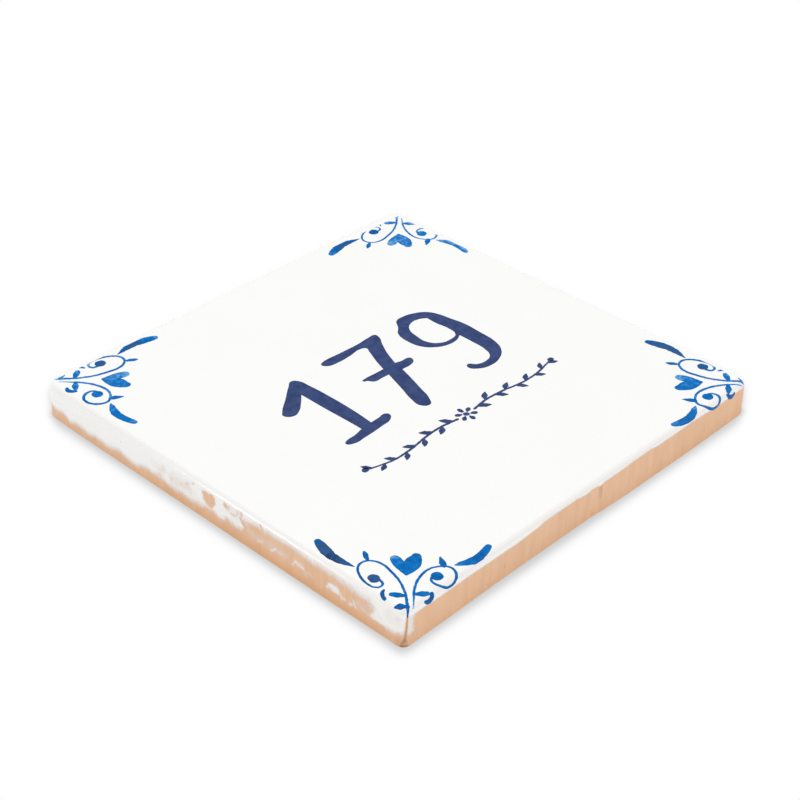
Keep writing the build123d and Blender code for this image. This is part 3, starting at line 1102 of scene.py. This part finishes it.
sprig_strokes = [(1, flower_heart)]
for petal in range(petal_count):
    petal_turn = math.tau * (petal + 0.5) / petal_count
    way = np.array((math.cos(petal_turn), math.sin(petal_turn)))
    sprig_strokes.append((1, tuple((*(way * reach), half, 0) for reach, half in petal_points)))
leaf = bpy.data.objects.new("leaf", paint_mesh("leaf", leaf_stroke))
leafy_stem = leafy_stem_tree(number_paint)
leaf_inputs = {"Leaf": leaf, "Pitch": leaf_pitch, "Spread": leaf_spread, "Shrink": leaf_shrink}
sprig_parts = bmesh.new()
for stem_line in stem_lines:
    halves = np.linspace(*stem_halves, len(stem_line))
    sprig_strokes.append((0, tuple((*point, half, 0) for point, half in zip(stem_line, halves))))
    end_x, end_y = stem_line[-1]
    sprig_strokes.append((1, tuple((end_x + shift, end_y, bud_half, 0) for shift in bud_shifts)))
    path = smooth_line([(*point, 0, 0) for point in stem_line], stroke_step)[bare_start:-bare_end]
    stem_mesh = bpy.data.meshes.new("stem")
    stem_mesh.from_pydata([(x, y, 0) for x, y, *_ in path], [(i, i + 1) for i in range(len(path) - 1)], [])
    leaves_mesh = made_by_nodes("stem", stem_mesh, leafy_stem, leaf_inputs)
    sprig_parts.from_mesh(leaves_mesh)
    bpy.data.meshes.remove(leaves_mesh)
bpy.data.objects.remove(leaf)
stems_mesh = paint_mesh("stems", sprig_strokes)
sprig_parts.from_mesh(stems_mesh)
bpy.data.meshes.remove(stems_mesh)
sprig_mesh = bpy.data.meshes.new("painted_sprig")
sprig_parts.to_mesh(sprig_mesh)
sprig_parts.free()
sprig_mesh.transform(Matrix.Translation((*sprig_middle, 0)))
lay_on_face(sprig_mesh)
sprig_mesh.materials.clear()
sprig_mesh.materials.append(number_paint)
painted_sprig = put_in_scene("painted_sprig", sprig_mesh)
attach(painted_sprig, "root")


# The stage: the camera above the lower left corner, a white floor and surround, and one wide soft lamp
# overhead. The floor is white to the camera, but for the shadow under the tile's edges and a soft grey halo,
# a shadow painted onto it as the tile's blurred, lowered outline seen from the camera.
# Two cards that only reflections see make the highlight along the left edge and keep the face's gloss clear.
view_azimuth = math.radians(-45.94)
view_elevation = math.radians(34.51)
view_roll = math.radians(0.343)
view_distance = 473.79 * MM
aim_right = 0.571 * MM
aim_up = 2.772 * MM
image_width = 800
focal_pixels = 1805.45
camera = bpy.data.cameras.new("camera")
camera.sensor_width = 36.0
camera.lens = focal_pixels / image_width * camera.sensor_width
camera.clip_start = 0.01
toward_eye = Vector((
    math.sin(view_azimuth) * math.cos(view_elevation),
    -math.cos(view_azimuth) * math.cos(view_elevation),
    math.sin(view_elevation),
))
level_right = Vector((0, 0, 1)).cross(toward_eye).normalized()
level_up = toward_eye.cross(level_right)
eye_right = level_right * math.cos(view_roll) + level_up * math.sin(view_roll)
eye_up = level_up * math.cos(view_roll) - level_right * math.sin(view_roll)
eye_place = toward_eye * view_distance + eye_right * aim_right + eye_up * aim_up
eye_turn = Matrix((eye_right, eye_up, toward_eye)).transposed().to_4x4()
eye = put_in_scene("camera", camera)
eye.matrix_world = Matrix.Translation(eye_place) @ eye_turn
bpy.context.scene.camera = eye
bpy.context.scene.view_settings.view_transform = "Standard"

pure_white = (1, 1, 1, 1)
paper_white = (0.92, 0.92, 0.92, 1)
# The floor's half width in metres, how far below the tile it lies, and the contact shadow's reach and range.
floor_half = 3.0
floor_gap = 0.05
contact_reach = 2.6
contact_samples = 16
contact_range = (0.5, 0.97)
contact_grey = colour(212, 212, 212)
# The halo, a shadow painted on the floor: its blur and how far it is lowered at the near and the far edges,
# in pixels of the picture; how dark it is on a screen's scale; and the lines of the floor that it is worked
# out on, a millimetre apart.
halo_blur = 4.2
halo_shift = 4.5
halo_far_shift = 11.0
halo_depth = 55
screen_white = 255
halo_from = -96
halo_to = 110
halo_lines = np.concatenate(((-floor_half / MM,), np.arange(halo_from, halo_to + 1), (floor_half / MM,)))
# How far in from a soft corner's tip the tile's outline runs, as a share of the corner's radius.
corner_cut = 0.35


def in_picture(points):
    """Where points, in millimetres, fall in the picture, in pixels right and down from its middle."""
    away = np.asarray(points, float) * MM - np.array(eye_place)
    depth = -away @ np.array(toward_eye)
    scale = focal_pixels / depth
    return np.stack((away @ np.array(eye_right) * scale, -away @ np.array(eye_up) * scale), axis=-1)


def halo_share(points):
    """How much painted halo shadow, the tile's blurred and lowered silhouette, lies on each floor point: 0
    none, 1 all.
    """
    foot = face_half + side_lean
    turn_in = corner_cut * soft_corner_radius
    low_cut, high_cut = foot - turn_in, face_half - turn_in
    bounding = (
        ((-foot, -foot, 0), (foot, -foot, 0), halo_shift),
        ((low_cut, -low_cut, 0), (high_cut, -high_cut, thickness), halo_shift),
        ((face_half, -face_half, thickness), (face_half, face_half, thickness), halo_far_shift),
        ((face_half, face_half, thickness), (-face_half, face_half, thickness), halo_far_shift),
        ((-high_cut, high_cut, thickness), (-low_cut, low_cut, 0), halo_shift),
        ((-foot, foot, 0), (-foot, -foot, 0), halo_shift),
    )
    here = in_picture(points)
    share = np.ones(len(points))
    for *ends, lowered in bounding:
        first, last = in_picture(ends) + (0, lowered)
        inward = np.array((last[1] - first[1], first[0] - last[0])) / np.linalg.norm(last - first)
        inside = (here - first) @ inward / (halo_blur * math.sqrt(2))
        share *= [(1 + math.erf(reach)) / 2 for reach in inside]
    return share


floor_mesh = bpy.data.meshes.new("floor")
floor_spots = np.array([(x, y, -floor_gap) for y in halo_lines for x in halo_lines])
across = len(halo_lines)
floor_faces = [
    (row * across + spot, row * across + spot + 1, (row + 1) * across + spot + 1, (row + 1) * across + spot)
    for row in range(across - 1)
    for spot in range(across - 1)
]
floor_mesh.from_pydata(floor_spots * MM, [], floor_faces)
near_tile = np.abs(floor_spots).max(axis=1) < floor_half / MM
halo_shadow = np.zeros(len(floor_spots))
halo_shadow[near_tile] = halo_share(floor_spots[near_tile])
# The floor keeps the painted halo shadow as how white it is at each point.
mark_points(floor_mesh, "white", [colour(*[level] * 3)[0] for level in screen_white - halo_depth * halo_shadow])
floor_piece = put_in_scene("floor", floor_mesh)


def seen_directly(tree):
    """1 for what the camera, a reflection or a clear body sees, 0 for light that bounces."""
    path = add_node(tree, "ShaderNodeLightPath").outputs
    either = calculated(tree, "MAXIMUM", path["Is Camera Ray"], path["Is Glossy Ray"])
    return calculated(tree, "MAXIMUM", either, path["Is Transmission Ray"])


def white_floor():
    """Matt white paper, seen as pure white but for the tile's contact shadow and painted halo shadow, and
    clear from below.
    """
    material, tree, output = new_material("white_floor")
    paper = add_node(tree, "ShaderNodeBsdfDiffuse", {"Color": paper_white}).outputs[0]
    inputs = {"Distance": contact_reach * MM}
    open_share = add_node(tree, "ShaderNodeAmbientOcclusion", inputs, samples=contact_samples).outputs["AO"]
    shadow = mix_colours(tree, graded(tree, open_share, *contact_range), contact_grey, pure_white)
    inputs = {0: 1.0, 6: shadow, 7: marked(tree, "white")}
    tint = add_node(tree, "ShaderNodeMix", inputs, data_type="RGBA", blend_type="DARKEN").outputs[2]
    lifted = add_node(tree, "ShaderNodeEmission", {"Color": tint, "Strength": 1.0}).outputs[0]
    shown = add_node(tree, "ShaderNodeMixShader", {0: seen_directly(tree), 1: paper, 2: lifted}).outputs[0]
    below = add_node(tree, "ShaderNodeNewGeometry").outputs["Backfacing"]
    clear = add_node(tree, "ShaderNodeBsdfTransparent").outputs[0]
    sheet = add_node(tree, "ShaderNodeMixShader", {0: below, 1: shown, 2: clear}).outputs[0]
    tree.links.new(sheet, output.inputs[0])
    return material


floor_mesh.materials.append(white_floor())

# The surround is a little brighter towards +X, to all but what sees it directly.
surround_light = 0.91
surround_slope = 0.05
surround = bpy.data.worlds.new("white_surround")
surround.use_nodes = True
sky_tree = surround.node_tree
sky_tree.nodes.clear()
sky_way = add_node(sky_tree, "ShaderNodeTexCoord").outputs["Generated"]
eastward = add_node(sky_tree, "ShaderNodeSeparateXYZ", {0: sky_way}).outputs["X"]
sloping = calculated(sky_tree, "MULTIPLY_ADD", eastward, surround_slope, surround_light)
bounced = add_node(sky_tree, "ShaderNodeBackground", {"Color": pure_white, "Strength": sloping}).outputs[0]
shown_white = add_node(sky_tree, "ShaderNodeBackground", {"Color": pure_white, "Strength": 1.0}).outputs[0]
sky_shares = {0: seen_directly(sky_tree), 1: bounced, 2: shown_white}
sky = add_node(sky_tree, "ShaderNodeMixShader", sky_shares).outputs[0]
sky_tree.links.new(sky, sky_tree.nodes.new("ShaderNodeOutputWorld").inputs[0])
bpy.context.scene.world = surround

# The lamp and the two cards are placed and sized in metres.
lamp_place = Vector((0.657, 1.2045, 1.708))
lamp = bpy.data.lights.new("overhead_softbox", "AREA")
lamp.shape = "RECTANGLE"
lamp.size = 0.42
lamp.size_y = 0.36
lamp.energy = 10.2
softbox = put_in_scene("overhead_softbox", lamp)
softbox.location = lamp_place
softbox.rotation_euler = lamp_place.to_track_quat("Z", "Y").to_euler()
softbox.visible_glossy = False

strip_foot = (-1.028, 0.077)
strip_top = (-0.804, 0.63)
strip_span = (0.59, 0.755)
strip_strength = 10.5
flag_half = 0.42
flag_distance = 1.0
flag_black = (0.02, 0.02, 0.02, 1)
mirror_way = Vector((0.592, 0.574, 0.567)).normalized()


def reflected_card(name, corners, finish, shader, inputs):
    """A four-cornered card with a material of one shader, which only reflections see."""
    mesh = bpy.data.meshes.new(name)
    mesh.from_pydata(corners, [], [(0, 1, 2, 3)])
    material, tree, output = new_material(finish)
    tree.links.new(add_node(tree, shader, inputs).outputs[0], output.inputs[0])
    mesh.materials.append(material)
    card = put_in_scene(name, mesh)
    card.visible_camera = False
    card.visible_diffuse = False
    card.visible_shadow = False
    return card


strip_edges = [[(x, y, z) for y in strip_span] for x, z in (strip_foot, strip_top)]
strip_corners = [*strip_edges[0], *reversed(strip_edges[1])]
strip_glow = {"Color": pure_white, "Strength": strip_strength}
strip = reflected_card("strip_card", strip_corners, "bright_strip", "ShaderNodeEmission", strip_glow)

flag_corners = [(x * flag_half, y * flag_half, 0) for x, y in ((-1, -1), (1, -1), (1, 1), (-1, 1))]
flag_felt = {"Color": flag_black}
flag = reflected_card("black_flag", flag_corners, "black_felt", "ShaderNodeBsdfDiffuse", flag_felt)
flag_turn = (-mirror_way).to_track_quat("Z", "Y").to_matrix().to_4x4()
flag.data.transform(Matrix.Translation(mirror_way * flag_distance) @ flag_turn)
